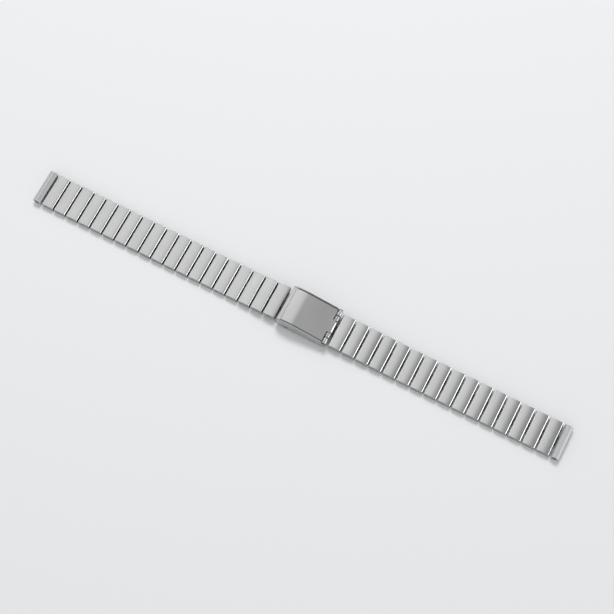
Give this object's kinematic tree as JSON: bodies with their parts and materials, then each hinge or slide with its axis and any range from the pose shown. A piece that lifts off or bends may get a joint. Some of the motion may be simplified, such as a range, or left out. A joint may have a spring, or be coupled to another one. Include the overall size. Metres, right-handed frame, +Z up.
{
  "type": "steel watch bracelet",
  "caption": "Slim steel watch bracelet laid out straight: pinned brushed links, a fold-over clasp with a hinged lid, and an end tube for a spring bar at each end.",
  "frame": {"origin": "middle of the bracelet lying straight, on the surface it lies on", "axes": "+X along the band from the longer half to the shorter half, +Y across the band, +Z up, out of the face that shows when worn"},
  "size_m": [0.1642, 0.0112, 0.0052],
  "materials": {
    "brushed_links": "tops brushed along the band, long edges polished",
    "brushed_clasp": "satin walls, bright edges",
    "brushed_lid": "sloping top with a fine satin finish",
    "satin_blades": "plain satin blades",
    "end_tubes": "satin tubes with cut ends",
    "polished_pins": "ground and polished pins",
    "spring_steel": "dull spring steel"
  },
  "bodies": {
    "inner_blade": {"inner_blade": "satin_blades", "band_pin": "polished_pins"},
    "outer_blade": {"outer_blade": "satin_blades", "blade_pin": "polished_pins", "lock_peg": "polished_pins"},
    "clasp_frame": {"clasp_frame": "brushed_clasp", "hinge_pin": "polished_pins", "catch_spring": "spring_steel", "catch_rivets": "polished_pins", "anchor_pin": "polished_pins"},
    "clasp_lid": {"clasp_lid": "brushed_lid", "lid_hook": "spring_steel"},
    "link_left_01": {"link_left_01": "brushed_links"},
    "link_left_02": {"link_left_02": "brushed_links"},
    "link_left_03": {"link_left_03": "brushed_links"},
    "link_left_04": {"link_left_04": "brushed_links"},
    "link_left_05": {"link_left_05": "brushed_links"},
    "link_left_06": {"link_left_06": "brushed_links"},
    "link_left_07": {"link_left_07": "brushed_links"},
    "link_left_08": {"link_left_08": "brushed_links"},
    "link_left_09": {"link_left_09": "brushed_links"},
    "link_left_10": {"link_left_10": "brushed_links"},
    "link_left_11": {"link_left_11": "brushed_links"},
    "link_left_12": {"link_left_12": "brushed_links"},
    "link_left_13": {"link_left_13": "brushed_links"},
    "link_left_14": {"link_left_14": "brushed_links"},
    "link_left_15": {"link_left_15": "brushed_links"},
    "link_left_16": {"link_left_16": "brushed_links"},
    "link_left_17": {"link_left_17": "brushed_links"},
    "link_left_18": {"link_left_18": "brushed_links"},
    "link_left_19": {"link_left_19": "brushed_links"},
    "link_right_01": {"link_right_01": "brushed_links"},
    "link_right_02": {"link_right_02": "brushed_links"},
    "link_right_03": {"link_right_03": "brushed_links"},
    "link_right_04": {"link_right_04": "brushed_links"},
    "link_right_05": {"link_right_05": "brushed_links"},
    "link_right_06": {"link_right_06": "brushed_links"},
    "link_right_07": {"link_right_07": "brushed_links"},
    "link_right_08": {"link_right_08": "brushed_links"},
    "link_right_09": {"link_right_09": "brushed_links"},
    "link_right_10": {"link_right_10": "brushed_links"},
    "link_right_11": {"link_right_11": "brushed_links"},
    "link_right_12": {"link_right_12": "brushed_links"},
    "link_right_13": {"link_right_13": "brushed_links"},
    "link_right_14": {"link_right_14": "brushed_links"},
    "link_right_15": {"link_right_15": "brushed_links"},
    "link_right_16": {"link_right_16": "brushed_links"},
    "end_tube_left": {"end_tube_left": "end_tubes"},
    "end_tube_right": {"end_tube_right": "end_tubes"}
  },
  "joints": [
    {"name": "blade_hinge", "type": "hinge", "parent": "inner_blade", "child": "outer_blade", "pos_m": [-0.00068, 0, 0.00088], "axis": [0, -1, 0], "range_deg": [0, 140]},
    {"name": "frame_hinge", "type": "hinge", "parent": "outer_blade", "child": "clasp_frame", "pos_m": [0.01127, 0, 0.003], "axis": [0, 1, 0], "range_deg": [0, 130]},
    {"name": "lid_hinge", "type": "hinge", "parent": "clasp_frame", "child": "clasp_lid", "pos_m": [0.01127, 0, 0.003], "axis": [0, 1, 0], "range_deg": [0, 80]},
    {"name": "left_hinge_01", "type": "hinge", "parent": "clasp_frame", "child": "link_left_01", "pos_m": [-0.00303, 0, 0.00205], "axis": [0, 1, 0], "range_deg": [-15, 5]},
    {"name": "left_hinge_02", "type": "hinge", "parent": "link_left_01", "child": "link_left_02", "pos_m": [-0.007, 0, 0.00188], "axis": [0, 1, 0], "range_deg": [-15, 5]},
    {"name": "left_hinge_03", "type": "hinge", "parent": "link_left_02", "child": "link_left_03", "pos_m": [-0.01095, 0, 0.00149], "axis": [0, 1, 0], "range_deg": [-15, 5]},
    {"name": "left_hinge_04", "type": "hinge", "parent": "link_left_03", "child": "link_left_04", "pos_m": [-0.0149, 0, 0.00109], "axis": [0, 1, 0], "range_deg": [-15, 5]},
    {"name": "left_hinge_05", "type": "hinge", "parent": "link_left_04", "child": "link_left_05", "pos_m": [-0.01886, 0, 0.00089], "axis": [0, 1, 0], "range_deg": [-15, 5]},
    {"name": "left_hinge_06", "type": "hinge", "parent": "link_left_05", "child": "link_left_06", "pos_m": [-0.02283, 0, 0.00085], "axis": [0, 1, 0], "range_deg": [-15, 5]},
    {"name": "left_hinge_07", "type": "hinge", "parent": "link_left_06", "child": "link_left_07", "pos_m": [-0.0268, 0, 0.00085], "axis": [0, 1, 0], "range_deg": [-15, 5]},
    {"name": "left_hinge_08", "type": "hinge", "parent": "link_left_07", "child": "link_left_08", "pos_m": [-0.03077, 0, 0.00085], "axis": [0, 1, 0], "range_deg": [-15, 5]},
    {"name": "left_hinge_09", "type": "hinge", "parent": "link_left_08", "child": "link_left_09", "pos_m": [-0.03474, 0, 0.00085], "axis": [0, 1, 0], "range_deg": [-15, 5]},
    {"name": "left_hinge_10", "type": "hinge", "parent": "link_left_09", "child": "link_left_10", "pos_m": [-0.03871, 0, 0.00085], "axis": [0, 1, 0], "range_deg": [-15, 5]},
    {"name": "left_hinge_11", "type": "hinge", "parent": "link_left_10", "child": "link_left_11", "pos_m": [-0.04268, 0, 0.00085], "axis": [0, 1, 0], "range_deg": [-15, 5]},
    {"name": "left_hinge_12", "type": "hinge", "parent": "link_left_11", "child": "link_left_12", "pos_m": [-0.04665, 0, 0.00085], "axis": [0, 1, 0], "range_deg": [-15, 5]},
    {"name": "left_hinge_13", "type": "hinge", "parent": "link_left_12", "child": "link_left_13", "pos_m": [-0.05062, 0, 0.00085], "axis": [0, 1, 0], "range_deg": [-15, 5]},
    {"name": "left_hinge_14", "type": "hinge", "parent": "link_left_13", "child": "link_left_14", "pos_m": [-0.05459, 0, 0.00085], "axis": [0, 1, 0], "range_deg": [-15, 5]},
    {"name": "left_hinge_15", "type": "hinge", "parent": "link_left_14", "child": "link_left_15", "pos_m": [-0.05856, 0, 0.00085], "axis": [0, 1, 0], "range_deg": [-15, 5]},
    {"name": "left_hinge_16", "type": "hinge", "parent": "link_left_15", "child": "link_left_16", "pos_m": [-0.06253, 0, 0.00085], "axis": [0, 1, 0], "range_deg": [-15, 5]},
    {"name": "left_hinge_17", "type": "hinge", "parent": "link_left_16", "child": "link_left_17", "pos_m": [-0.0665, 0, 0.00085], "axis": [0, 1, 0], "range_deg": [-15, 5]},
    {"name": "left_hinge_18", "type": "hinge", "parent": "link_left_17", "child": "link_left_18", "pos_m": [-0.07047, 0, 0.00085], "axis": [0, 1, 0], "range_deg": [-15, 5]},
    {"name": "left_hinge_19", "type": "hinge", "parent": "link_left_18", "child": "link_left_19", "pos_m": [-0.07444, 0, 0.00085], "axis": [0, 1, 0], "range_deg": [-15, 5]},
    {"name": "left_hinge_20", "type": "hinge", "parent": "link_left_19", "child": "end_tube_left", "pos_m": [-0.07841, 0, 0.00085], "axis": [0, 1, 0], "range_deg": [-15, 5]},
    {"name": "right_hinge_01", "type": "hinge", "parent": "inner_blade", "child": "link_right_01", "pos_m": [0.01117, 0, 0.00155], "axis": [0, 1, 0], "range_deg": [-5, 15]},
    {"name": "right_hinge_02", "type": "hinge", "parent": "link_right_01", "child": "link_right_02", "pos_m": [0.01537, 0, 0.0015], "axis": [0, 1, 0], "range_deg": [-5, 15]},
    {"name": "right_hinge_03", "type": "hinge", "parent": "link_right_02", "child": "link_right_03", "pos_m": [0.01957, 0, 0.00136], "axis": [0, 1, 0], "range_deg": [-5, 15]},
    {"name": "right_hinge_04", "type": "hinge", "parent": "link_right_03", "child": "link_right_04", "pos_m": [0.02377, 0, 0.00118], "axis": [0, 1, 0], "range_deg": [-5, 15]},
    {"name": "right_hinge_05", "type": "hinge", "parent": "link_right_04", "child": "link_right_05", "pos_m": [0.02796, 0, 0.00102], "axis": [0, 1, 0], "range_deg": [-5, 15]},
    {"name": "right_hinge_06", "type": "hinge", "parent": "link_right_05", "child": "link_right_06", "pos_m": [0.03216, 0, 0.00091], "axis": [0, 1, 0], "range_deg": [-5, 15]},
    {"name": "right_hinge_07", "type": "hinge", "parent": "link_right_06", "child": "link_right_07", "pos_m": [0.03636, 0, 0.00086], "axis": [0, 1, 0], "range_deg": [-5, 15]},
    {"name": "right_hinge_08", "type": "hinge", "parent": "link_right_07", "child": "link_right_08", "pos_m": [0.04056, 0, 0.00085], "axis": [0, 1, 0], "range_deg": [-5, 15]},
    {"name": "right_hinge_09", "type": "hinge", "parent": "link_right_08", "child": "link_right_09", "pos_m": [0.04476, 0, 0.00085], "axis": [0, 1, 0], "range_deg": [-5, 15]},
    {"name": "right_hinge_10", "type": "hinge", "parent": "link_right_09", "child": "link_right_10", "pos_m": [0.04896, 0, 0.00085], "axis": [0, 1, 0], "range_deg": [-5, 15]},
    {"name": "right_hinge_11", "type": "hinge", "parent": "link_right_10", "child": "link_right_11", "pos_m": [0.05316, 0, 0.00085], "axis": [0, 1, 0], "range_deg": [-5, 15]},
    {"name": "right_hinge_12", "type": "hinge", "parent": "link_right_11", "child": "link_right_12", "pos_m": [0.05736, 0, 0.00085], "axis": [0, 1, 0], "range_deg": [-5, 15]},
    {"name": "right_hinge_13", "type": "hinge", "parent": "link_right_12", "child": "link_right_13", "pos_m": [0.06156, 0, 0.00085], "axis": [0, 1, 0], "range_deg": [-5, 15]},
    {"name": "right_hinge_14", "type": "hinge", "parent": "link_right_13", "child": "link_right_14", "pos_m": [0.06576, 0, 0.00085], "axis": [0, 1, 0], "range_deg": [-5, 15]},
    {"name": "right_hinge_15", "type": "hinge", "parent": "link_right_14", "child": "link_right_15", "pos_m": [0.06996, 0, 0.00085], "axis": [0, 1, 0], "range_deg": [-5, 15]},
    {"name": "right_hinge_16", "type": "hinge", "parent": "link_right_15", "child": "link_right_16", "pos_m": [0.07416, 0, 0.00085], "axis": [0, 1, 0], "range_deg": [-5, 15]},
    {"name": "right_hinge_17", "type": "hinge", "parent": "link_right_16", "child": "end_tube_right", "pos_m": [0.07836, 0, 0.00085], "axis": [0, 1, 0], "range_deg": [-5, 15]}
  ]
}
